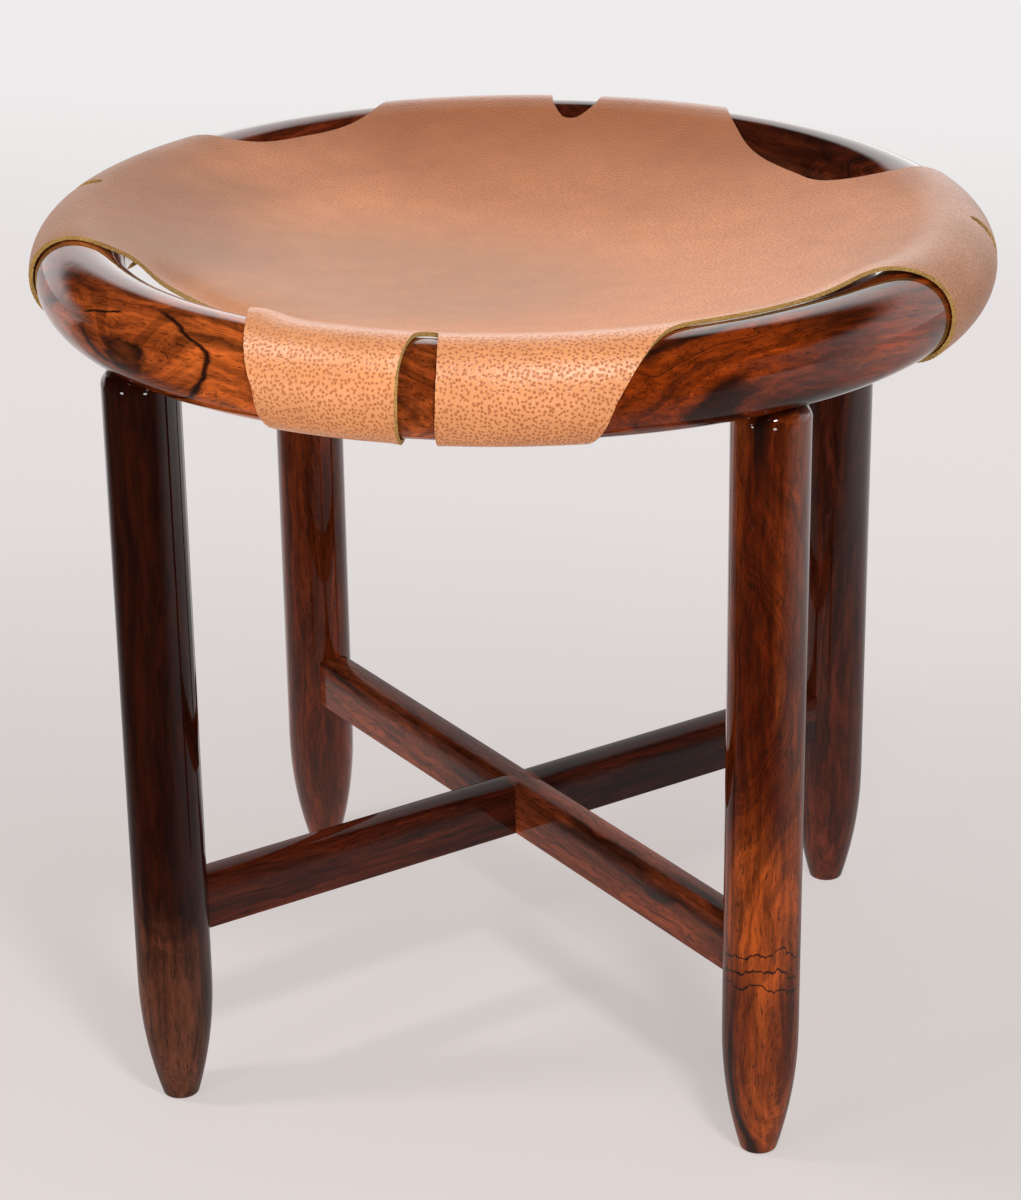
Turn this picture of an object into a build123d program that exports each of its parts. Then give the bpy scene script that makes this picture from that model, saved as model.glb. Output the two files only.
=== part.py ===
from build123d import *
from math import asin, atan, cos, degrees, radians, sin
from typing import NamedTuple
import os

# A round stool. Four turned legs stand under a thick round rail, a crossed pair of bars ties
# the legs together low down, and one leather hide is slung over the rail as the seat.
# Lengths are in millimetres and angles in degrees, counted from +X towards +Y. The front is -Y.

# Rail: a round bar that runs in a full circle, glued up from four arcs
rail_radius = 222.5          # centre of the bar from the stool's axis
rail_bar_radius = 23.25      # the bar's round section
rail_height = 426.0          # centre of the bar above the floor
rail_joint_angle = 12.0      # first glued joint, turned off the axes so that the leather covers it

# Loose tenons that hold the four arcs of the rail together, inside the bar
rail_tenon_width = 28.0
rail_tenon_thickness = 12.0
rail_tenon_length = 48.0

# Legs
leg_radius = 19.5
leg_inset = 4.0              # leg axis, inside the centre of the rail's bar
leg_saddle_depth = 2.4       # how far the rail's underside is let into the leg top
leg_top_round = 8.0
leg_taper_height = 70.0
foot_radius = 9.3
foot_edge_round = 1.5

# Dowels that stand in the leg tops and go up into the rail
dowel_radius = 8.0
dowel_in_leg = 36.0
dowel_in_rail = 26.0
dowel_end_chamfer = 1.5

# Stretchers: two bars from leg to leg that cross in a half lap
stretcher_width = 18.0
stretcher_edge_height = 27.7
stretcher_crown = 1.6        # rise of the rounded top over its two edges
stretcher_underside = 95.7
stretcher_edge_round = 0.9
tenon_width = 10.0
tenon_height = 20.0
tenon_length = 22.0          # into the leg
tenon_root = 10.0            # part of the tenon that is inside the bar

# Fits of the glued joints
glue_line = 0.1
end_gap = 1.0                # air left past the end of a dowel or tenon

# Seat hide
leather_thickness = 2.2
leather_clearance = 0.3      # between the hide and the rail that it lies on
seat_sag = 27.0              # middle of the seat below its highest line
tail_end_angle = -118.0      # where the tails stop under the rail, 0 outwards and 90 on top
slit_width = 16.0

# Tacks that hold the tails under the rail
tack_head_radius = 4.5
tack_head_height = 1.7
tack_shank_radius = 0.9
tack_shank_length = 10.0
tack_point_length = 3.0
tack_fit = 0.05              # air round the shank and under the head
tack_angle = -102.0
tack_places_shares = (0.16, 0.5, 0.84)    # along the width of a tail


class Gap(NamedTuple):
    """A hollow edge of the hide between two lobes. It is nearest to the middle at its waist."""
    start: float
    waist: float
    end: float
    waist_share: float       # share of the rail's radius
    start_power: float
    end_power: float


class Slit(NamedTuple):
    """The slit that parts a lobe into two tails, from a round end outwards."""
    angle: float
    end_share: float         # share of the rail's radius
    end_width_share: float   # shares of the slit's width
    rim_width_share: float


gaps = {
    "front_left": Gap(201.3, 222.0, 252.6, 0.942, 7.0, 9.0),
    "front_right": Gap(292.0, 322.0, 340.0, 0.948, 3.0, 6.5),
    "back_right": Gap(25.5, 41.0, 71.0, 0.787, 4.0, 2.6),
    "back_left": Gap(116.0, 137.5, 154.0, 0.885, 2.7, 3.5),
}
slits = {
    "front": Slit(271.1, 0.971, 0.9, 1.12),
    "right": Slit(3.6, 1.061, 0.55, 0.65),
    "back": Slit(92.3, 0.894, 1.0, 1.7),
    "left": Slit(178.3, 1.027, 0.6, 0.75),
}
# Each lobe lies between the end of one gap and the start of the next
lobes = {
    "front": ("front_left", "front_right"),
    "right": ("front_right", "back_right"),
    "back": ("back_right", "back_left"),
    "left": ("back_left", "front_left"),
}
full_turn = 360.0
corner_angles = {"back_right": 45.0, "back_left": 135.0, "front_left": 225.0, "front_right": 315.0}
side_angles = {"right": 0.0, "back": 90.0, "left": 180.0, "front": 270.0}
gap_curve_steps = 8          # stretches of the curve on each side of a gap's waist

leg_circle = rail_radius - leg_inset
rail_underside = rail_height - rail_bar_radius
leg_top = rail_underside + leg_saddle_depth
hide_inner = rail_bar_radius + leather_clearance
hide_outer = hide_inner + leather_thickness
rim_radius = rail_radius + hide_outer
beyond_rim = rim_radius + 2 * rail_bar_radius
stretcher_middle = stretcher_underside + stretcher_edge_height / 2
tall = 2 * rail_height


def polar(radius, angle, height=0.0):
    """Point at a distance from the stool's axis and a height, at an angle round it."""
    return Vector(radius * cos(radians(angle)), radius * sin(radians(angle)), height)


def arc(centre, radius, start, end):
    """Arc in a flat drawing, round a centre from one angle to another."""
    turns = (start, (start + end) / 2, end)
    points = [Vector(*centre) + polar(radius, turn) for turn in turns]
    return ThreePointArc(*points)


# Rail

def rail_bar(clearance=0.0):
    """The rail's whole round bar, or a larger one to cut with."""
    section = Plane.XZ * Pos(rail_radius, rail_height) * Circle(rail_bar_radius + clearance)
    return revolve(section, axis=Axis.Z)


def rail_tenon(angle, clearance=0.0, end_clearance=0.0):
    """Flat loose tenon with rounded edges, through the joint at an angle."""
    outline = SlotOverall(rail_tenon_width + 2 * clearance,
                          rail_tenon_thickness + 2 * clearance, rotation=90)
    tenon = extrude(Plane.XZ * outline, rail_tenon_length / 2 + end_clearance, both=True)
    return Rot(0, 0, angle) * Pos(rail_radius, 0, rail_height) * tenon


def rail_segment(leg_angle, start):
    """Quarter of the rail, with its sockets for loose tenons, leg dowel and tacks."""
    section = Plane.XZ * Pos(rail_radius, rail_height) * Circle(rail_bar_radius)
    segment = Rot(0, 0, start) * revolve(section, axis=Axis.Z, revolution_arc=full_turn / 4)
    for angle in (start, start + full_turn / 4):
        segment -= rail_tenon(angle, glue_line, end_gap)
    segment -= dowel(leg_angle, glue_line, end_gap)
    for angle in all_tack_angles():
        if (angle - start) % full_turn < full_turn / 4:
            segment -= tack_hole(angle)
    return segment


# Legs and their dowels

def dowel(angle, clearance=0.0, end_clearance=0.0):
    """Dowel that stands in a leg top, or the hole for it."""
    low = leg_top - dowel_in_leg - end_clearance
    length = dowel_in_leg + dowel_in_rail + 2 * end_clearance
    pin = Cylinder(dowel_radius + clearance, length, align=(Align.CENTER, Align.CENTER, Align.MIN))
    if not clearance:
        pin = chamfer(pin.edges().filter_by(GeomType.CIRCLE), dowel_end_chamfer)
    return Pos(*polar(leg_circle, angle, low)) * pin


def leg(angle):
    """Turned leg: a plain cylinder with a rounded top, drawn in to a small flat foot."""
    taper = TangentArc((leg_radius, leg_taper_height), (foot_radius, 0), tangent=(0, -1))
    sides = Polyline((foot_radius, 0), (0, 0), (0, leg_top), (leg_radius, leg_top),
                     (leg_radius, leg_taper_height))
    body = revolve(Plane.XZ * make_face([taper, sides]), axis=Axis.Z)
    rims = body.edges().filter_by(GeomType.CIRCLE).sort_by(Axis.Z)
    body = fillet(rims[-1], leg_top_round)
    foot_rim = body.edges().filter_by(GeomType.CIRCLE).sort_by(Axis.Z)[0]
    body = fillet(foot_rim, foot_edge_round)
    body = Pos(*polar(leg_circle, angle)) * body
    body -= rail_bar(glue_line)
    body -= dowel(angle, glue_line, end_gap)
    body -= Rot(0, 0, angle) * stretcher_tenon(glue_line, end_gap)
    return body


# Stretchers

def stretcher_tenon(clearance=0.0, end_clearance=0.0):
    """Tenon on the +X end of a bar that lies along X, or the mortise for it."""
    root = leg_circle - leg_radius - tenon_root
    length = tenon_root + tenon_length + end_clearance
    tenon = Box(length, tenon_width + 2 * clearance, tenon_height + 2 * clearance,
                align=(Align.MIN, Align.CENTER, Align.CENTER))
    return Pos(root, 0, stretcher_middle) * tenon


def stretcher_bar():
    """Bar along X between two opposite legs, with coped shoulders and tenons."""
    half = stretcher_width / 2
    top = stretcher_underside + stretcher_edge_height
    crown = ThreePointArc((half, top), (0, top + stretcher_crown), (-half, top))
    sides = Polyline((-half, top), (-half, stretcher_underside), (half, stretcher_underside),
                     (half, top))
    bar = extrude(Plane.YZ * make_face([crown, sides]), leg_circle, both=True)
    bar = fillet(bar.edges().filter_by(Axis.X), stretcher_edge_round)
    for turn in (0, full_turn / 2):
        end = Rot(0, 0, turn)
        bar -= end * Pos(leg_circle, 0, 0) * Cylinder(leg_radius + glue_line, tall)
        bar += end * stretcher_tenon()
    return bar


def lap_block(clearance=0.0):
    """Square column where the bars cross, from the middle of their height upwards."""
    side = stretcher_width + 2 * clearance
    return Pos(0, 0, stretcher_middle) * Box(side, side, tall,
                                             align=(Align.CENTER, Align.CENTER, Align.MIN))


def stretchers():
    """The two bars. The upper one keeps the top half of the crossing, with both rounded tops."""
    bar = stretcher_bar()
    other = Rot(0, 0, full_turn / 4) * bar
    below = Pos(0, 0, stretcher_middle) * Rot(full_turn / 2, 0, 0) * Pos(0, 0, -stretcher_middle)
    upper = bar - below * lap_block(glue_line)
    upper += other & lap_block()
    lower = other - Pos(0, 0, -glue_line) * lap_block(glue_line)
    along_front_right = Rot(0, 0, corner_angles["front_right"])
    return along_front_right * upper, along_front_right * lower


# Seat hide

def gap_radius(gap, angle):
    """Distance of a gap's edge from the stool's axis, at an angle."""
    waist = gap.waist_share * rail_radius
    if angle < gap.waist:
        rise = ((gap.waist - angle) / (gap.waist - gap.start)) ** gap.start_power
    else:
        rise = ((angle - gap.waist) / (gap.end - gap.waist)) ** gap.end_power
    return waist + (rim_radius - waist) * rise


def gap_cutter(gap):
    """Block that cuts one gap: over the rail along its curved edge, under it straight inwards."""
    steps = range(gap_curve_steps)
    angles = [gap.start + (gap.waist - gap.start) * (step / gap_curve_steps) ** 0.5
              for step in steps]
    angles += [gap.end - (gap.end - gap.waist) * (1 - step / gap_curve_steps) ** 0.5
               for step in steps]
    angles.append(gap.end)
    points = [polar(gap_radius(gap, angle), angle) for angle in angles]
    edge = Spline(*points)
    outside = Polyline(points[-1], polar(beyond_rim, gap.end), polar(beyond_rim, gap.start),
                       points[0])
    cutter = Pos(0, 0, rail_height) * extrude(make_face([edge, outside]), tall)
    low_side = rail_radius - hide_outer
    low_middle = (gap.start + gap.end) / 2
    low_edge = ThreePointArc(*(polar(low_side, angle) for angle in (gap.start, low_middle, gap.end)))
    low_outside = Polyline(low_edge @ 1, polar(beyond_rim, gap.end), polar(beyond_rim, gap.start),
                           low_edge @ 0)
    cutter += extrude(make_face([low_edge, low_outside]), rail_height)
    return cutter


def slit_cutter(slit):
    """Block that cuts one slit right through the lobe and its tails under the rail."""
    end = slit.end_share * rail_radius
    end_half = slit_width * slit.end_width_share / 2
    rim_half = slit_width * slit.rim_width_share / 2
    round_end = arc((end + end_half, 0), end_half, full_turn / 4, full_turn * 3 / 4)
    sides = Polyline((end + end_half, -end_half), (rim_radius, -rim_half), (beyond_rim, -rim_half),
                     (beyond_rim, rim_half), (rim_radius, rim_half), (end + end_half, end_half))
    cutter = extrude(make_face([round_end, sides]), tall)
    low_side = rail_radius - hide_outer
    cutter += Pos(low_side, 0, 0) * Box(beyond_rim - low_side, 2 * rim_half, rail_height,
                                        align=(Align.MIN, Align.CENTER, Align.MIN))
    return Rot(0, 0, slit.angle) * cutter


def hide_section():
    """Half of the hide's cross-section: the sagging seat, then the wrap round the bar."""
    lean = degrees(2 * atan(seat_sag / rail_radius))
    leave = full_turn / 4 + lean
    reach = rail_radius / sin(radians(lean))
    dish_centre = (0, rail_height + reach * cos(radians(lean)))
    bar_centre = (rail_radius, rail_height)
    bottom = -full_turn / 4
    edges = [
        arc(dish_centre, reach - hide_inner, bottom, bottom + lean),
        arc(bar_centre, hide_inner, leave, tail_end_angle),
        arc(bar_centre, hide_outer, leave, tail_end_angle),
        arc(dish_centre, reach - hide_outer, bottom, bottom + lean),
    ]
    edges.append(Line(edges[1] @ 1, edges[2] @ 1))
    edges.append(Line(edges[3] @ 0, edges[0] @ 0))
    return Plane.XZ * make_face(edges)


def leather_seat():
    """The one hide, with its four lobes slit into eight tails."""
    hide = revolve(hide_section(), axis=Axis.Z)
    for angle in all_tack_angles():
        hide -= tack_hole(angle)
    for gap in gaps.values():
        hide -= gap_cutter(gap)
    for slit in slits.values():
        hide -= slit_cutter(slit)
    return hide


# Tacks

def tack_angles(side):
    """Where the tacks of one lobe stand round the rail: three in each of its two tails."""
    slit = slits[side]
    before, after = (gaps[name] for name in lobes[side])
    slit_half = degrees(asin(slit_width * slit.rim_width_share / 2 / rail_radius))
    middle = before.end + (slit.angle - before.end) % full_turn
    far_end = middle + (after.start - middle) % full_turn
    tails = ((before.end, middle - slit_half), (middle + slit_half, far_end))
    return [start + (end - start) * share for start, end in tails for share in tack_places_shares]


def all_tack_angles():
    return [angle for side in side_angles for angle in tack_angles(side)]


def tack_place(angle):
    """Where a tack's head lies on the leather under the rail."""
    reach = hide_outer + tack_fit
    radius = rail_radius + reach * cos(radians(tack_angle))
    height = rail_height + reach * sin(radians(tack_angle))
    outward = polar(cos(radians(tack_angle)), angle, sin(radians(tack_angle)))
    return Plane(origin=polar(radius, angle, height), z_dir=outward)


def tack_hole(angle):
    """Hole for a tack's shank, through the leather and on into the rail."""
    hole = Cylinder(tack_shank_radius + tack_fit, tack_shank_length + tack_head_height,
                    align=(Align.CENTER, Align.CENTER, Align.MAX))
    return tack_place(angle) * Pos(0, 0, tack_head_height - tack_fit) * hole


def tack(angle):
    """Round-headed upholstery tack with a pointed shank."""
    straight = tack_shank_length - tack_point_length
    dome = TangentArc((0, tack_head_height), (tack_head_radius, 0), tangent=(1, 0))
    sides = Polyline((tack_head_radius, 0), (tack_shank_radius, 0), (tack_shank_radius, -straight),
                     (0, -tack_shank_length), (0, tack_head_height))
    return tack_place(angle) * revolve(Plane.XZ * make_face([dome, sides]), axis=Axis.Z)


# The stool, piece by piece

def build():
    pieces = {}
    for name, angle in corner_angles.items():
        joint = rail_joint_angle + angle - corner_angles["back_right"]
        pieces[f"leg_{name}"] = leg(angle)
        pieces[f"leg_dowel_{name}"] = dowel(angle)
        pieces[f"rail_{name}"] = rail_segment(angle, joint)
    for name, angle in side_angles.items():
        pieces[f"rail_tenon_{name}"] = rail_tenon(angle + rail_joint_angle)
        pieces[f"tacks_{name}"] = Compound(children=[tack(place) for place in tack_angles(name)])
    pieces["stretcher_upper"], pieces["stretcher_lower"] = stretchers()
    pieces["leather_seat"] = leather_seat()
    return pieces


os.makedirs("parts", exist_ok=True)
for node, shape in build().items():
    export_step(shape, f"parts/{node}.step")
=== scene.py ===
import math

import bmesh
import bpy
from mathutils import Matrix, Vector, noise


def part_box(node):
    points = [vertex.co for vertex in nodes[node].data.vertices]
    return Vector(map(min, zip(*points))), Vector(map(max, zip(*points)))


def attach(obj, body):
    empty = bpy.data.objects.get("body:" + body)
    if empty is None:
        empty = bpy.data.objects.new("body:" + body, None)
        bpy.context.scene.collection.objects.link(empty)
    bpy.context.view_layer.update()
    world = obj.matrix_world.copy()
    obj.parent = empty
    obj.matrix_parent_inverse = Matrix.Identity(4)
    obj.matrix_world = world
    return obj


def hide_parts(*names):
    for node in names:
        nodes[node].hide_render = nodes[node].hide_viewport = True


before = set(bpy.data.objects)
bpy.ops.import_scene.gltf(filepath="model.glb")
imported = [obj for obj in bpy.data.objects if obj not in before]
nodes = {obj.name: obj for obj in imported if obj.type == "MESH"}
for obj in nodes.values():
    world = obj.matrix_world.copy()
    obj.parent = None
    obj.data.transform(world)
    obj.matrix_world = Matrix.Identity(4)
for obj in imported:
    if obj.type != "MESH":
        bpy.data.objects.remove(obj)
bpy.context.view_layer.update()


# Legs
# Four rosewood legs, turned on a lathe, with a rounded top and a foot drawn in by one long curve.
# Each was turned from its own blank, so each has its own figure under the same glossy lacquer.

def set_sockets(tree, node, sockets):
    """Links each named socket of a node from another node's, or sets it to a value."""
    for name, value in sockets.items():
        if isinstance(value, bpy.types.NodeSocket):
            tree.links.new(value, node.inputs[name])
        else:
            node.inputs[name].default_value = value


def add_node(tree, kind, sockets=None, **settings):
    """One shader node with those settings and sockets."""
    node = tree.nodes.new("ShaderNode" + kind)
    for name, value in settings.items():
        setattr(node, name, value)
    set_sockets(tree, node, sockets or {})
    return node


def calc(tree, operation, *values):
    """Sum, product or the like of numbers and sockets."""
    return add_node(tree, "Math", dict(enumerate(values)), operation=operation).outputs[0]


def vector_calc(tree, operation, *values):
    """The same for places and directions."""
    return add_node(tree, "VectorMath", dict(enumerate(values)), operation=operation).outputs[0]


def length(tree, vector):
    return add_node(tree, "VectorMath", {0: vector}, operation="LENGTH").outputs["Value"]


def distance(tree, place, other):
    return add_node(tree, "VectorMath", {0: place, 1: other}, operation="DISTANCE").outputs["Value"]


def in_sizes(tree, place, middle, size):
    """The way from a middle to a place, counted in that size along each axis."""
    return vector_calc(tree, "DIVIDE", vector_calc(tree, "SUBTRACT", place, middle), size)


def drawn_out(tree, place, height_share):
    """Place with its height shortened to that share, so that a pattern is drawn out upwards."""
    return vector_calc(tree, "MULTIPLY", place, (1.0, 1.0, height_share))


def pushed(tree, place, push, far):
    """Place pushed sideways by noise, that many metres for a push of one."""
    return vector_calc(tree, "MULTIPLY_ADD", push, (far, far, 0.0), place)


def ease(tree, value, low, high, to_low=0.0, to_high=1.0):
    """Value carried smoothly from one range to another, and held at its ends."""
    sockets = {"Value": value, "From Min": low, "From Max": high, "To Min": to_low, "To Max": to_high}
    return add_node(tree, "MapRange", sockets, interpolation_type="SMOOTHSTEP").outputs[0]


def blend_colours(tree, share, first, second, how="MIX"):
    sockets = {0: share, 6: first, 7: second}
    return add_node(tree, "Mix", sockets, data_type="RGBA", blend_type=how).outputs[2]


def grain_noise(tree, place, scale, detail, rough=0.5):
    sockets = {"Vector": place, "Scale": scale, "Detail": detail, "Roughness": rough}
    return add_node(tree, "TexNoise", sockets).outputs["Fac"]


def push_noise(tree, place, scale, detail):
    """Noise that pushes a place, as far to one side as to the other."""
    sockets = {"Vector": place, "Scale": scale, "Detail": detail, "Roughness": 0.5}
    colour = add_node(tree, "TexNoise", sockets).outputs["Color"]
    return vector_calc(tree, "SUBTRACT", colour, (0.5, 0.5, 0.5))


def ring_noise(tree, ring, scale):
    """Noise along one number, the same on the whole of a growth ring."""
    sockets = {"W": ring, "Scale": scale, "Detail": 3.0, "Roughness": 0.6}
    return add_node(tree, "TexNoise", sockets, noise_dimensions="1D").outputs["Fac"]


def relief(tree, height, strength, depth):
    return add_node(tree, "Bump", {"Height": height, "Strength": strength, "Distance": depth}).outputs[0]


def new_material(name):
    """A material, its nodes, its surface shader and the place on the piece in metres."""
    material = bpy.data.materials.new(name)
    material.use_nodes = True
    tree = material.node_tree
    return material, tree, tree.nodes["Principled BSDF"], add_node(tree, "TexCoord").outputs["Object"]


def dress(node, material):
    nodes[node].material_slots[0].material = material


# Share of each height that counts: the less, the longer that figure runs along the grain
patch_figure = 0.16
curl_figure = 0.4
fibre_figure = 0.09

# How fine each figure is across the grain, coarsest first
patch_scale = 16.0
wear_scale = 24.0
ink_fade_scale = 26.0
curl_scale = 75.0
torn_scale = 210.0
sheen_scale = 260.0
pore_scale = 1150.0

# Metres that the noises push rings and fibres aside, and sizes of a lighter or darker patch
# that they push its edge
curl_by = 0.009
fibre_sway_by = 0.02
patch_edge_sway = (1.6, 1.6, 1.6)

ink_from, ink_full, ink_for_streaks = 0.62, 0.80, 0.22
patch_softness = 0.13
ink_black = (0.005, 0.0022, 0.0015, 1.0)
pore_brown = (0.010, 0.00352, 0.0018, 1.0)
rubbed_edge = 0.007
rubbed_coat = 0.18


def rosewood(name, turn, pith, ground, heart, streaks=0.5, bands=60.0, tone=0.5, sway_by=0.04,
             knots=(), veins=(), waver=0.008, figure_light_and_shade_patches=(), rubbed_above=None):
    """Lacquered rosewood whose grain runs along a piece once that piece is turned to stand up.

    Growth rings go round a pith that lies off the piece. Some rings are ink black, and the rest
    go from ground colour to heart colour in long patches. Lacquer can be rubbed thin on a top.
    knots: middle, size, how far the rings are pushed aside, how dark it is
    veins: thin dark lines, each on a ball: the ball's centre and radius, the line's width, its
        middle and its half length; waver is how far these lines wander
    figure_light_and_shade_patches: middle, size, how much the wood there has of heart colour, or of
    ground colour below zero; partly the wood's own figure, partly painted light and shade
    """
    material, tree, surface, place = new_material(name)
    upright = add_node(tree, "Mapping", {"Vector": place, "Rotation": turn,
                                         "Location": pith}).outputs[0]
    long_way = drawn_out(tree, upright, patch_figure)
    short_way = drawn_out(tree, upright, curl_figure)
    sway = push_noise(tree, long_way, patch_scale, 3.0)
    curl = push_noise(tree, short_way, curl_scale, 4.0)
    swayed = pushed(tree, pushed(tree, upright, sway, sway_by), curl, curl_by)
    ring = length(tree, drawn_out(tree, swayed, 0.0))

    dark_marks = []
    for middle, size, push, depth in knots:
        away = length(tree, in_sizes(tree, place, middle, size))
        ring = calc(tree, "MULTIPLY_ADD", ease(tree, away, 0.0, 2.6, 1.0, 0.0), push, ring)
        if depth > 0.0:
            torn = grain_noise(tree, short_way, torn_scale, 5.0, 0.65)
            torn_away = calc(tree, "MULTIPLY_ADD", torn, 0.9, away)
            heartwood = ease(tree, torn_away, 0.90, 1.30, depth, 0.0)
            paler_core = ease(tree, away, 0.15, 0.65, 0.55, 1.0)
            dark_marks.append(calc(tree, "MULTIPLY", heartwood, paler_core))
    for centre, radius, width, middle, half_length in veins:
        apart = vector_calc(tree, "SUBTRACT", place, centre)
        apart = vector_calc(tree, "MULTIPLY_ADD", curl, (waver, waver, waver), apart)
        away = calc(tree, "ABSOLUTE", calc(tree, "SUBTRACT", length(tree, apart), radius))
        line = ease(tree, away, 0.15 * width, width, 0.96, 0.0)
        ends = ease(tree, distance(tree, place, middle), 0.7 * half_length, half_length, 1.0, 0.0)
        dark_marks.append(calc(tree, "MULTIPLY", line, ends))

    patches = ease(tree, grain_noise(tree, long_way, patch_scale, 4.0, 0.6),
                   tone - patch_softness, tone + patch_softness)
    # Patches set one by one turn the wood toward heart colour, or toward ground colour below zero: partly
    # the wood's own figure, partly painted light and shade
    for middle, size, more_heart in figure_light_and_shade_patches:
        apart = in_sizes(tree, place, middle, size)
        apart = vector_calc(tree, "MULTIPLY_ADD", sway, patch_edge_sway, apart)
        near = ease(tree, length(tree, apart), 0.2, 1.3, 1.0, 0.0)
        patches = calc(tree, "MULTIPLY_ADD", near, more_heart, patches)
    colour = blend_colours(tree, patches, (*ground, 1.0), (*heart, 1.0))
    soft_bands = ease(tree, ring_noise(tree, ring, bands * 4.0), 0.34, 0.66, 0.68, 1.16)
    colour = blend_colours(tree, 1.0, colour, soft_bands, "MULTIPLY")

    fibres = drawn_out(tree, upright, fibre_figure)
    fibres = pushed(tree, pushed(tree, fibres, curl, curl_by), sway, fibre_sway_by)
    sheen = ease(tree, grain_noise(tree, fibres, sheen_scale, 4.0, 0.65), 0.3, 0.7, 0.55, 1.45)
    colour = blend_colours(tree, 1.0, colour, sheen, "MULTIPLY")

    more_ink = ink_for_streaks * streaks
    inked = ease(tree, ring_noise(tree, ring, bands), ink_from - more_ink, ink_full - more_ink)
    fade = ease(tree, grain_noise(tree, long_way, ink_fade_scale, 3.0), 0.36, 0.60, 0.0, 0.92)
    inked = calc(tree, "MULTIPLY", inked, fade)
    for mark in dark_marks:
        inked = calc(tree, "MAXIMUM", inked, mark)
    colour = blend_colours(tree, inked, colour, ink_black)
    pores = ease(tree, grain_noise(tree, fibres, pore_scale, 2.0, 0.6), 0.56, 0.68, 0.0, 0.70)
    colour = blend_colours(tree, pores, colour, pore_brown)

    worn = grain_noise(tree, place, wear_scale, 3.0)
    set_sockets(tree, surface, {"Base Color": colour, "Roughness": 0.5, "Specular IOR Level": 0.0,
                                "Coat Weight": 1.0, "Coat IOR": 1.5,
                                "Coat Roughness": ease(tree, worn, 0.35, 0.75, 0.02, 0.08),
                                "Coat Normal": relief(tree, worn, 0.12, 0.002)})
    if rubbed_above is not None:
        height = add_node(tree, "SeparateXYZ", {0: place}).outputs[2]
        thin = ease(tree, height, rubbed_above, rubbed_above + rubbed_edge, 1.0, rubbed_coat)
        set_sockets(tree, surface, {"Coat Weight": thin})
    return material


leg_figures = {
    "front_left": dict(
        turn=(0.0, 0.0, 0.5), pith=(0.21, 0.08, 0.3),
        ground=(0.130, 0.0380, 0.0170), heart=(0.0175, 0.0024, 0.0006), streaks=0.75, tone=0.45,
        knots=[((-0.1484, -0.1730, 0.060), (0.016, 0.016, 0.040), -0.018, 0.0)],
        # Painted shade up under the seat and painted light low down by the floor
        figure_light_and_shade_patches=[((-0.154, -0.155, 0.300), (0.06, 0.06, 0.200), 1.2),
               ((-0.158, -0.170, 0.055), (0.03, 0.03, 0.075), -0.8)]),
    "front_right": dict(
        turn=(0.0, 0.0, 1.7), pith=(0.09, 0.22, 0.1),
        ground=(0.275, 0.0500, 0.0070), heart=(0.058, 0.0070, 0.0008), streaks=0.45, tone=0.44,
        knots=[((0.1568, -0.1740, 0.060), (0.010, 0.010, 0.024), 0.012, 0.0),
               ((0.1568, -0.1740, 0.260), (0.020, 0.020, 0.050), -0.04, 0.0)],
        veins=[((0.157, -0.174, -0.070), 0.189, 0.0010, (0.150, -0.170, 0.121), 0.034),
               ((0.160, -0.174, -0.070), 0.179, 0.0011, (0.150, -0.170, 0.111), 0.034),
               ((0.150, -0.174, -0.070), 0.170, 0.0010, (0.152, -0.170, 0.102), 0.034)],
        waver=0.030,
        # Painted shade up under the seat and painted light lower down by the floor
        figure_light_and_shade_patches=[((0.157, -0.174, 0.330), (0.03, 0.03, 0.110), 0.5),
               ((0.157, -0.174, 0.145), (0.03, 0.03, 0.050), -1.3),
               ((0.157, -0.174, 0.060), (0.03, 0.03, 0.050), -0.1),
               ((0.157, -0.174, 0.010), (0.03, 0.03, 0.040), -0.5)]),
    "back_right": dict(
        turn=(0.0, 0.0, 2.9), pith=(0.05, 0.33, 0.7),
        ground=(0.090, 0.0150, 0.0050), heart=(0.030, 0.0060, 0.0026)),
    "back_left": dict(
        turn=(0.0, 0.0, 4.2), pith=(0.31, 0.12, 0.5),
        ground=(0.210, 0.0320, 0.0060), heart=(0.060, 0.0100, 0.0026), streaks=0.6),
}
for corner, figure in leg_figures.items():
    dress(f"leg_{corner}", rosewood(f"rosewood_leg_{corner}", **figure))


# Stretchers
# Two bars with rounded tops that cross in a half lap and are tenoned into the legs low down.
# They are cut from straighter rosewood than the legs, and shoes have rubbed the lacquer on their tops.

def lie_along(angle, slope=0.0):
    """Turn that stands up the grain of a piece that lies at that angle, its far end raised."""
    level = Matrix.Rotation(math.radians(90.0 - angle), 3, "Z")
    return (Matrix.Rotation(math.radians(90.0 - slope), 3, "X") @ level).to_euler("XYZ")


shoe_height = 0.113
fine_bands = 90.0
stretcher_figures = {
    "upper": dict(
        turn=lie_along(135.0), pith=(0.16, 0.2, 0.3),
        ground=(0.240, 0.0480, 0.0150), heart=(0.090, 0.0170, 0.0060), streaks=0.40),
    "lower": dict(
        turn=lie_along(45.0), pith=(0.16, 0.4, 0.3),
        ground=(0.110, 0.0170, 0.0060), heart=(0.026, 0.0050, 0.0024), streaks=0.50),
}
for layer, figure in stretcher_figures.items():
    dress(f"stretcher_{layer}", rosewood(f"rosewood_stretcher_{layer}", bands=fine_bands,
                                         rubbed_above=shoe_height, **figure))


# Rail
# A thick round bar in a full circle, glued up from four arcs cut from rosewood planks. The joints
# are under the leather, and loose tenons hold them. The figure runs straight along each plank.

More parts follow.
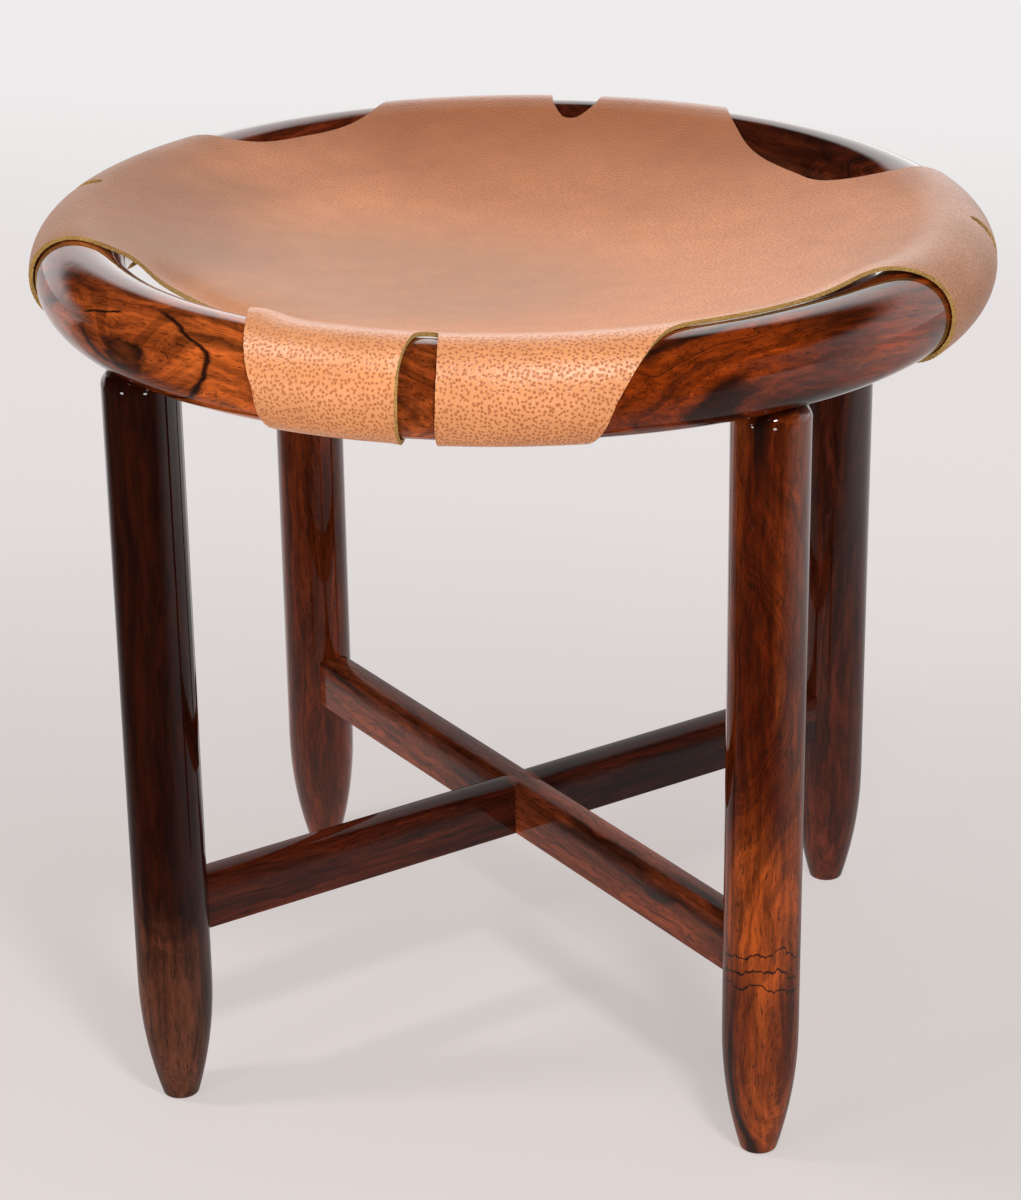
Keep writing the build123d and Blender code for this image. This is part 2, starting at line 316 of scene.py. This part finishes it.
rail_low, rail_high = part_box("rail_front_left")
bar_radius = (rail_high.z - rail_low.z) / 2
rail_height = (rail_high.z + rail_low.z) / 2
rail_radius = -rail_low.y - bar_radius
rail_figures = {
    "front_left": dict(
        turn=lie_along(327.0, 3.0), pith=(-0.287, 0.323, 0.0), sway_by=0.03,
        ground=(0.380, 0.0760, 0.0125), heart=(0.100, 0.0160, 0.0030), streaks=0.36,
        knots=[((-0.1490, -0.1955, 0.4255), (0.025, 0.025, 0.0135), 0.030, 0.95)],
        veins=[((-0.3212, -0.4240, 0.4593), 0.3, 0.0015, (-0.1050, -0.2180, 0.4310), 0.046),
               ((-0.2146, -0.2928, 0.2864), 0.2, 0.0010, (-0.1645, -0.1749, 0.4401), 0.018)],
        # Lighter and darker patches: partly the plank's figure, partly painted light and shade
        figure_light_and_shade_patches=[((-0.085, -0.226, 0.425), (0.035, 0.03, 0.03), -0.9),
               ((-0.160, -0.180, 0.430), (0.06, 0.06, 0.030), 0.45)]),
    "front_right": dict(
        turn=lie_along(57.0, -7.0), pith=(-0.322, 0.323, 0.0), sway_by=0.03,
        ground=(0.205, 0.0285, 0.0025), heart=(0.050, 0.0072, 0.0014), streaks=0.80,
        # Painted light on the top and the right end of the bar, painted shade on its underside
        figure_light_and_shade_patches=[((0.146, -0.188, 0.445), (0.07, 0.05, 0.016), -1.0),
               ((0.212, -0.110, 0.435), (0.03, 0.05, 0.030), -1.0),
               ((0.140, -0.190, 0.406), (0.12, 0.08, 0.018), 0.6)]),
    "back_right": dict(
        turn=lie_along(147.0, 4.0), pith=(-0.29, 0.32, 0.0),
        ground=(0.100, 0.0150, 0.0040), heart=(0.024, 0.0044, 0.0018)),
    "back_left": dict(
        turn=lie_along(237.0, -3.0), pith=(-0.31, 0.34, 0.0),
        ground=(0.170, 0.0250, 0.0060), heart=(0.050, 0.0080, 0.0024)),
}
for corner, figure in rail_figures.items():
    dress(f"rail_{corner}", rosewood(f"rosewood_rail_{corner}", **figure))


# Dowels and loose tenons
# Pale straight-grained hardwood, glued in, so it is bare. It is hidden inside the finished stool:
# a dowel stands on top of each leg, and a loose tenon crosses each joint of the rail, under a lobe.

def bare_wood(name):
    material, tree, surface, place = new_material(name)
    grain = grain_noise(tree, drawn_out(tree, place, 0.08), 700.0, 4.0, 0.6)
    colour = blend_colours(tree, ease(tree, grain, 0.35, 0.65), (0.47, 0.31, 0.16, 1.0),
                           (0.30, 0.18, 0.085, 1.0))
    set_sockets(tree, surface, {"Base Color": colour, "Roughness": 0.75})
    return material


lobes = ("front", "right", "back", "left")
bare = bare_wood("bare_tenon_wood")
for corner in leg_figures:
    dress(f"leg_dowel_{corner}", bare)
for lobe in lobes:
    dress(f"rail_tenon_{lobe}", bare)


# Leather seat
# One hide of thick tanned leather, slung over the rail. Four lobes wrap round the rail, each slit in
# two, and hollow curves are cut between them. The cut edges are raw and stand a little off the wood.

hide_thickness = 0.0022
hide_clearance = 0.0003
seat_sag = 0.027
tail_end_angle = math.radians(-118.0)     # round the bar's section, from straight out
hide_columns = 480
dish_rows = 34
wrap_rows = 42
row_crowding = 1.45     # rows of the dish lie closer together toward the rail
shortest_edge = 0.00025
edge_waver = 0.0006     # the cut edges wander by that much, in waves of these scales
waver_scale = 25.0
waver_scale_round = 5.0

# The hide rises from its sag in the middle, meets the rail at the leave line and wraps round the bar.
# Its rim is its outermost line, level with the bar's middle
wrap_radius = bar_radius + hide_clearance + hide_thickness / 2
rim_radius = rail_radius + wrap_radius
lean = 2 * math.atan(seat_sag / rail_radius)
reach = rail_radius / math.sin(lean)
dish_radius = reach - wrap_radius
dish_centre = rail_height + reach * math.cos(lean)
dish_length = dish_radius * lean
leave_angle = math.pi / 2 + lean
hide_length = dish_length + wrap_radius * (leave_angle - tail_end_angle)
rim_length = dish_length + wrap_radius * leave_angle

# Hollow curves between the lobes: start, waist and end in degrees, how far in the waist reaches as a
# share of the rail's radius, the power of the curve on each side of it, and by how many degrees the
# start leans over from leave line to rim and below the rim, and the end in the same way
gaps = (
    (200.9, 222.0, 252.7, 0.892, 3.6, 22.0, 0.8, 0.6, -4.6, 0.0),
    (292.2, 322.0, 340.6, 0.974, 14.0, 6.5, 6.6, -4.3, 0.0, 0.4),
    (25.5, 41.0, 72.7, 0.787, 4.0, 2.7, 0.0, 0.0, 0.0, 0.0),
    (116.0, 137.5, 154.0, 0.885, 2.7, 3.5, 0.0, 0.0, 0.0, 0.0),
)
steepest_share = 1.4     # past this share of its half width the curve gets no steeper

# Slits: degrees at the rim, how far in the round end reaches as a share of the rail's radius, half
# widths at the end and at the rim, length of the round end, degrees it leans over below the rim
slits = (
    (271.2, 0.985, 0.0084, 0.0086, 0.032, -0.9),
    (4.4, 1.075, 0.0044, 0.0052, 0.010, 0.0),
    (91.8, 0.905, 0.0090, 0.0215, 0.020, 0.0),
    (178.3, 1.027, 0.0048, 0.0060, 0.010, 0.0),
)
slit_reach = 0.5     # radians to each side of a slit, past which lie other lobes
round_end_half = 0.003
round_end_power = 0.32

# Places where an edge stands off the wood: degrees, metres along the hide, spread of each, height
lifts = (
    (240.0, 0.196, 13.0, 0.009, -0.0068),
    (240.0, 0.182, 14.0, 0.016, -0.0030),
    (222.0, 0.195, 9.0, 0.010, -0.0034),
    (202.0, 0.245, 4.0, 0.030, 0.0004),
    (248.5, 0.216, 3.5, 0.010, 0.0026),
    (270.4, 0.266, 1.8, 0.024, 0.0056),
    (334.0, 0.215, 8.0, 0.014, 0.0032),
    (339.5, 0.240, 3.5, 0.030, 0.0006),
)


def hide_section(along):
    """Place and outward direction on the hide's section, that far along it from the middle."""
    if along < dish_length:
        turned = along / dish_radius
        place = Vector((dish_radius * math.sin(turned), dish_centre - dish_radius * math.cos(turned)))
        return place, Vector((-math.sin(turned), math.cos(turned)))
    turned = leave_angle - (along - dish_length) / wrap_radius
    out = Vector((math.cos(turned), math.sin(turned)))
    return Vector((rail_radius, rail_height)) + out * wrap_radius, out


def angle_between(angle, other):
    """Degrees from one angle to another, the short way."""
    return (angle - other + 180.0) % 360.0 - 180.0


def share_below_rim(along):
    return max(along - rim_length, 0.0) / (hide_length - rim_length)


def past_gap(gap, angle, along, radius):
    """How far a point of the hide lies outside one gap, in metres, or less than zero inside it."""
    (start, waist, end, waist_share, start_power, end_power,
     start_above, start_below, end_above, end_below) = gap
    above = min(max((rim_length - along) / (rim_length - dish_length), 0.0), 1.0)
    below = share_below_rim(along)
    off = angle_between(angle, waist)
    if off < 0:
        reach_to, power = waist - start - start_above * above - start_below * below, start_power
    else:
        reach_to, power = end - waist + end_above * above + end_below * below, end_power
    share = abs(off) / reach_to
    sideways = math.radians(reach_to) * max(radius, rail_radius / 2)
    if along > rim_length:
        return (share - 1) * sideways
    waist_radius = waist_share * rail_radius
    deep = rim_radius - waist_radius
    curved_share = min(share, steepest_share)
    edge = waist_radius + deep * curved_share ** power
    steep = deep * power * curved_share ** (power - 1) / sideways
    return (edge - radius) / math.hypot(1.0, steep)


def past_slit(slit, angle, along, radius):
    """The same for one slit, whose end is an arch and whose sides are straight."""
    at, end_share, end_half, rim_half, round_length, leaning = slit
    off = math.radians(angle_between(angle, at + leaning * share_below_rim(along)))
    if abs(off) > slit_reach:
        return 1.0
    side = abs(off) * max(radius, rail_radius / 2)
    first = dish_length + (end_share - 1) * rail_radius
    out = along - first
    if out < 0:
        return math.hypot(out, max(side - round_end_half, 0.0))
    half = end_half + (rim_half - end_half) * min(out / (rim_length - first), 1.0)
    return side - half * min(out / round_length, 1.0) ** round_end_power


# The flat hide first: x is degrees round the seat, y metres along the hide, and z is above zero only
# inside a gap or a slit, so that one level cut takes all of them out
hide_mesh = bmesh.new()
rows = dish_rows + wrap_rows
bmesh.ops.create_grid(hide_mesh, x_segments=hide_columns, y_segments=rows, size=1.0)
for vert in hide_mesh.verts:
    row = (vert.co.y + 1) / 2 * rows
    if row < dish_rows:
        along = dish_length * (1 - (1 - row / dish_rows) ** row_crowding)
    else:
        along = dish_length + (hide_length - dish_length) * (row - dish_rows) / wrap_rows
    angle = (vert.co.x + 1) * 180.0
    radius = hide_section(along)[0].x
    uneven = edge_waver * noise.noise(Vector((radius * waver_scale,
                                              math.radians(angle) * waver_scale_round,
                                              along * waver_scale)))
    kept = min([past_gap(gap, angle, along, radius) for gap in gaps]
               + [past_slit(slit, angle, along, radius) for slit in slits])
    vert.co = (angle, along, -(kept + uneven))
bmesh.ops.bisect_plane(hide_mesh, geom=hide_mesh.verts[:] + hide_mesh.edges[:] + hide_mesh.faces[:],
                       plane_co=(0.0, 0.0, 0.0), plane_no=(0.0, 0.0, 1.0), clear_outer=True)
flat_places = hide_mesh.loops.layers.uv.new("flat_hide")
for face in hide_mesh.faces:
    for loop in face.loops:
        angle, along, _ = loop.vert.co
        loop[flat_places].uv = (along * math.cos(math.radians(angle)),
                                along * math.sin(math.radians(angle)))

# Then every point goes to its place over the rail. The grid's two ends meet there, and its first
# row comes together in the middle of the seat, so these points are merged
for vert in hide_mesh.verts:
    angle, along, _ = vert.co
    place, out = hide_section(along)
    lift = sum(height * math.exp(-(angle_between(angle, at) / wide) ** 2
                                 - ((along - far) / tall) ** 2)
               for at, far, wide, tall, height in lifts)
    place = place + out * lift
    turned = math.radians(angle)
    vert.co = (place.x * math.cos(turned), place.x * math.sin(turned), place.y)
bmesh.ops.remove_doubles(hide_mesh, verts=hide_mesh.verts[:], dist=shortest_edge)
bmesh.ops.recalc_face_normals(hide_mesh, faces=hide_mesh.faces[:])
if sum(face.normal.z * face.calc_area() for face in hide_mesh.faces) < 0:
    bmesh.ops.reverse_faces(hide_mesh, faces=hide_mesh.faces[:])
for face in hide_mesh.faces:
    face.smooth = True
hide_area = sum(face.calc_area() for face in hide_mesh.faces)


def add_piece(name, mesh):
    """An object made from a bmesh, which isn't needed after that."""
    piece = bpy.data.objects.new(name, bpy.data.meshes.new(name))
    mesh.to_mesh(piece.data)
    mesh.free()
    bpy.context.scene.collection.objects.link(piece)
    return piece


hide = add_piece("leather_hide", hide_mesh)

tan = (0.68, 0.252, 0.094, 1.0)
dark_tan = (0.37, 0.109, 0.024, 1.0)
worn_and_sheen_tan = (0.470, 0.198, 0.088, 1.0)
pit_brown = (0.37, 0.094, 0.020, 1.0)
lobe_tint_and_sheen = (1.0, 1.10, 1.16, 1.0)
side_shade_tint = (0.45, 0.48, 0.50, 1.0)
worn_and_sheen_spot = (-0.05, -0.08, 0.42)


def leather_pits(tree, flat_place, scale, randomness, edge, depth):
    """Round pits on the flat hide, as deep as that in their middles and ending at their edge."""
    cells = {"Vector": flat_place, "Scale": scale, "Randomness": randomness}
    from_middle = add_node(tree, "TexVoronoi", cells, voronoi_dimensions="2D").outputs["Distance"]
    return ease(tree, from_middle, 0.10, edge, depth, 0.0)


def tanned_leather(name):
    """Grain side of the hide: orange tan with small dark pits, coarse on the lobes and fine in the
    dish. Where people sit the pits fade and the tan is greyer and darker: partly wear, partly
    painted sheen. The back is darker. The lobes are paler, partly their own colour and partly
    painted sheen. The front lobe has some gloss, and the lobes at the sides are dull and have
    painted shade, the left one most.
    """
    material, tree, surface, place = new_material(name)
    flat_place = add_node(tree, "UVMap", uv_map="flat_hide").outputs[0]
    flat_place = pushed(tree, flat_place, push_noise(tree, place, 560.0, 2.0), 0.0018)
    coarse = leather_pits(tree, flat_place, 440.0, 0.8, 0.44, 1.0)
    fine = leather_pits(tree, flat_place, 520.0, 1.0, 0.42, 0.70)
    from_axis = length(tree, drawn_out(tree, place, 0.0))
    on_lobe = ease(tree, from_axis, 0.200, 0.232)
    from_worn_and_sheen_spot = distance(tree, place, worn_and_sheen_spot)
    pits = calc(tree, "MULTIPLY_ADD", on_lobe, calc(tree, "SUBTRACT", coarse, fine), fine)
    # Pits fade on the patch where people sit: partly worn off, partly hidden by painted sheen
    pits = calc(tree, "MULTIPLY", pits, ease(tree, from_worn_and_sheen_spot, 0.06, 0.19, 0.22, 1.0))

    across, backward, _ = add_node(tree, "SeparateXYZ", {0: place}).outputs
    blotches = grain_noise(tree, place, 9.0, 4.0, 0.55)
    darker = ease(tree, calc(tree, "MULTIPLY_ADD", blotches, 0.22, backward), 0.08, 0.34)
    colour = blend_colours(tree, darker, tan, dark_tan)
    # There the tan is greyer and darker: partly wear, partly a painted stand-in for the sheen
    colour = blend_colours(tree, ease(tree, from_worn_and_sheen_spot, 0.06, 0.17, 1.0, 0.0), colour, worn_and_sheen_tan)
    # Painted shade: the lobes at the sides, the left one most, are painted darker and greyer; the same
    # share makes them duller
    side_shade_and_dullness = calc(tree, "MULTIPLY_ADD", blotches, 0.16, calc(tree, "ABSOLUTE", across))
    side_shade_and_dullness = ease(tree, calc(tree, "MULTIPLY_ADD", across, -0.15, side_shade_and_dullness), 0.17, 0.33)
    # The lobes are painted paler: partly their own fresher colour, partly a painted sheen in place of the
    # low softboxes' highlight
    colour = blend_colours(tree, on_lobe, colour, lobe_tint_and_sheen, "MULTIPLY")
    colour = blend_colours(tree, side_shade_and_dullness, colour, side_shade_tint, "MULTIPLY")
    mottled = ease(tree, grain_noise(tree, place, 60.0, 4.0, 0.6), 0.3, 0.7, 0.95, 1.05)
    colour = blend_colours(tree, 1.0, colour, mottled, "MULTIPLY")
    colour = blend_colours(tree, calc(tree, "MULTIPLY", pits, 0.90), colour, pit_brown)

    lobe_polish = calc(tree, "MULTIPLY_ADD", side_shade_and_dullness, -0.55, 0.65)
    polish = ease(tree, from_axis, 0.205, 0.222, 0.10, lobe_polish)
    pebbles = grain_noise(tree, place, 900.0, 3.0, 0.6)
    grain = calc(tree, "MULTIPLY_ADD", pits, -0.8, pebbles)
    set_sockets(tree, surface, {"Base Color": colour, "IOR": 1.5, "Specular IOR Level": polish,
                                "Roughness": calc(tree, "MULTIPLY_ADD", polish, -0.10, 0.37),
                                "Normal": relief(tree, grain, 0.4, 0.0006)})
    return material


def raw_leather(name, colour, dark):
    """Cut edge or flesh side: fibrous and matt, paler or darker from fibre to fibre."""
    material, tree, surface, place = new_material(name)
    fibres = grain_noise(tree, place, 1400.0, 4.0, 0.7)
    mixed = blend_colours(tree, ease(tree, fibres, 0.35, 0.65), (*colour, 1.0), (*dark, 1.0))
    set_sockets(tree, surface, {"Base Color": mixed, "Roughness": 0.85,
                                "Normal": relief(tree, fibres, 0.5, 0.0004)})
    return material


hide.data.materials.append(tanned_leather("tanned_leather_grain_side"))
hide.data.materials.append(raw_leather("tanned_leather_cut_edge", (0.60, 0.37, 0.11), (0.26, 0.125, 0.03)))
hide.data.materials.append(raw_leather("tanned_leather_flesh_side", (0.44, 0.27, 0.14), (0.33, 0.19, 0.09)))
full_hide = hide.modifiers.new("thickness", "SOLIDIFY")
full_hide.thickness = hide_thickness
full_hide.offset = 0.0
full_hide.use_even_offset = True
full_hide.material_offset = 2
full_hide.material_offset_rim = 1
worn_edge = hide.modifiers.new("worn_edge", "BEVEL")
worn_edge.width = 0.0003
worn_edge.segments = 2
worn_edge.limit_method = "ANGLE"
worn_edge.angle_limit = math.radians(50.0)
worn_edge.harden_normals = True
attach(hide, "root")
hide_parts("leather_seat")


# Tacks
# Round-headed brass tacks, gone dull, hold the tails of the hide under the rail. There are six to a
# lobe, driven up through the leather into the wood.

def dull_brass(name):
    material, tree, surface, place = new_material(name)
    spots = grain_noise(tree, place, 600.0, 3.0)
    colour = blend_colours(tree, ease(tree, spots, 0.35, 0.7), (0.50, 0.33, 0.13, 1.0),
                           (0.26, 0.16, 0.06, 1.0))
    set_sockets(tree, surface, {"Base Color": colour, "Metallic": 1.0,
                                "Roughness": ease(tree, spots, 0.3, 0.7, 0.28, 0.5)})
    return material


brass = dull_brass("dull_brass")
for lobe in lobes:
    dress(f"tacks_{lobe}", brass)


# Floor
# A wide sheet of pale paper with painted light of its own, as if partly lit from below, so that it
# stays pale far off and still takes the stool's shadow near by. The lacquer sees a painted reflection
# of it, dark toward the front and bright behind, with a painted shadow of the stool right of it.

floor_radius = 9.0
painted_shadow_place = (0.35, 0.15, 0.0)     # right of the stool: a painted shadow, where the mirrored floor is dimmer


def lit_paper(name):
    """Paper with painted light of its own, more toward the back, and a painted reflection for the lacquer.
    """
    material, tree, surface, place = new_material(name)
    set_sockets(tree, surface, {"Base Color": (0.80, 0.740, 0.720, 1.0), "Roughness": 0.9,
                                "Specular IOR Level": 0.1})
    across, backward, _ = add_node(tree, "SeparateXYZ", {0: place}).outputs
    # Painted light: the paper's own glow, dimmer in front and brighter far back
    glow = blend_colours(tree, ease(tree, backward, -0.15, 0.85), (0.725, 0.670, 0.650, 1.0),
                         (0.785, 0.738, 0.732, 1.0))
    glow = blend_colours(tree, ease(tree, backward, 1.0, 2.1), glow, (0.86, 0.840, 0.842, 1.0))
    lit_share = ease(tree, backward, -0.4, 1.0, 0.55, 1.0)
    from_below = add_node(tree, "Emission", {"Color": glow}).outputs[0]
    paper = add_node(tree, "MixShader", {0: lit_share, 1: surface.outputs[0], 2: from_below}).outputs[0]

    # Painted reflection: what the lacquer sees of the floor is set here, not lit
    near_slant = calc(tree, "MULTIPLY_ADD", across, 0.45, backward)
    far_slant = calc(tree, "MULTIPLY_ADD", across, 0.25, backward)
    shine = calc(tree, "MAXIMUM", ease(tree, near_slant, -0.6, 0.5, 0.05, 0.85),
                 ease(tree, far_slant, 0.0, 0.25, 0.0, 0.9))
    # Painted shadow: the mirrored floor is dimmed by half right of the stool, where its shadow falls
    past_painted_shadow = ease(tree, distance(tree, place, painted_shadow_place), 0.15, 0.6, 0.5, 1.0)
    shine = calc(tree, "MULTIPLY", shine, past_painted_shadow)
    mirrored = add_node(tree, "Emission", {"Color": (0.98, 0.93, 0.92, 1.0),
                                           "Strength": shine}).outputs[0]
    in_gloss = add_node(tree, "LightPath").outputs["Is Glossy Ray"]
    seen = add_node(tree, "MixShader", {0: in_gloss, 1: paper, 2: mirrored}).outputs[0]
    set_sockets(tree, tree.nodes["Material Output"], {"Surface": seen})
    return material


floor_mesh = bmesh.new()
bmesh.ops.create_circle(floor_mesh, cap_ends=True, segments=96, radius=floor_radius)
floor = add_piece("floor", floor_mesh)
floor.data.materials.append(lit_paper("white_paper"))


# Room
# White all round to the camera. The lacquer sees a bright wall behind the stool, up to a line that
# falls away to the sides, and hardly anything elsewhere. Matt surfaces get a soft fill from it.

room_white = 0.85
room_tint = (1.0, 0.985, 0.985, 1.0)
unlit_wall = 0.02


def white_room(name):
    """World whose light differs for the camera, for rays off the lacquer and for all other rays."""
    room = bpy.data.worlds.new(name)
    room.use_nodes = True
    tree = room.node_tree
    look = add_node(tree, "TexCoord").outputs["Generated"]
    across, backward, upward = add_node(tree, "SeparateXYZ", {0: look}).outputs
    right_side = ease(tree, across, -0.3, 0.3)
    wall_start = calc(tree, "MULTIPLY_ADD", right_side, -0.65, 0.15)
    behind = ease(tree, backward, wall_start, 0.6)
    sideways = calc(tree, "ABSOLUTE", across)
    falling = calc(tree, "MULTIPLY_ADD", right_side, -0.38, 0.66)
    up_the_wall = calc(tree, "MULTIPLY_ADD", sideways, falling, upward)
    bright_wall = calc(tree, "MULTIPLY", behind, ease(tree, up_the_wall, 0.66, 0.82, 1.0, 0.0))
    soft_fill = calc(tree, "MULTIPLY_ADD", bright_wall, 0.22, 0.33)
    wall_light = ease(tree, sideways, 0.0, 0.7, 2.15, 1.6)
    mirrored = calc(tree, "MULTIPLY_ADD", bright_wall, wall_light, unlit_wall)
    rays = add_node(tree, "LightPath").outputs
    strength = calc(tree, "MULTIPLY_ADD", rays["Is Glossy Ray"],
                    calc(tree, "SUBTRACT", mirrored, soft_fill), soft_fill)
    strength = calc(tree, "MULTIPLY_ADD", rays["Is Camera Ray"],
                    calc(tree, "SUBTRACT", room_white, strength), strength)
    set_sockets(tree, tree.nodes["Background"], {"Strength": strength, "Color": room_tint})
    return room


bpy.context.scene.world = white_room("room")


# Lamps
# All stand in front of the stool: two pairs of softboxes, one low and one high, and a small bulb in
# front of each low softbox. The lacquer mirrors the bulbs and the high softboxes as small lights.

def soft_lamp(name, azimuth, elevation, distance_off, size, power, in_gloss=True):
    """Round lamp at an angle round the stool from its front, aimed at the middle of the rail."""
    turned, raised = math.radians(azimuth), math.radians(elevation)
    away = Vector((math.sin(turned) * math.cos(raised), -math.cos(turned) * math.cos(raised),
                   math.sin(raised)))
    lamp = bpy.data.objects.new(name, bpy.data.lights.new(name, "AREA"))
    lamp.data.shape = "DISK"
    lamp.data.size = size
    lamp.data.energy = power
    lamp.location = Vector((0.0, 0.0, rail_height)) + away * distance_off
    lamp.rotation_euler = away.to_track_quat("Z", "Y").to_euler()
    lamp.visible_glossy = in_gloss
    bpy.context.scene.collection.objects.link(lamp)


for side, azimuth, power in (("left", -37.0, 5.8), ("right", 22.0, 4.8)):
    soft_lamp(f"low_softbox_{side}", azimuth, elevation=-5.0, distance_off=1.7, size=0.38,
              power=power, in_gloss=False)
for side, azimuth in (("left", -37.0), ("right", 22.0)):
    soft_lamp(f"low_bulb_{side}", azimuth, elevation=-5.0, distance_off=1.6, size=0.24, power=1.6)
soft_lamp("high_softbox_left", -66.0, elevation=50.0, distance_off=1.6, size=0.19, power=8.5)
soft_lamp("high_softbox_right", 27.0, elevation=46.0, distance_off=1.6, size=0.23, power=13.8)


# Camera
# It looks down on the stool from the front, a little from the right. Place, lens and turns were
# fitted to the photograph.

camera_place = (0.33452, -1.63598, 0.92380)
camera_yaw, camera_pitch, camera_roll = 0.20394, 0.39371, 0.01394
camera = bpy.data.objects.new("camera", bpy.data.cameras.new("camera"))
camera.data.lens = 100.54
camera.matrix_world = (Matrix.Translation(camera_place)
                       @ Matrix.Rotation(camera_yaw, 4, "Z")
                       @ Matrix.Rotation(math.pi / 2 - camera_pitch, 4, "X")
                       @ Matrix.Rotation(-camera_roll, 4, "Z"))
bpy.context.scene.collection.objects.link(camera)
bpy.context.scene.camera = camera
bpy.context.scene.view_settings.view_transform = "Standard"
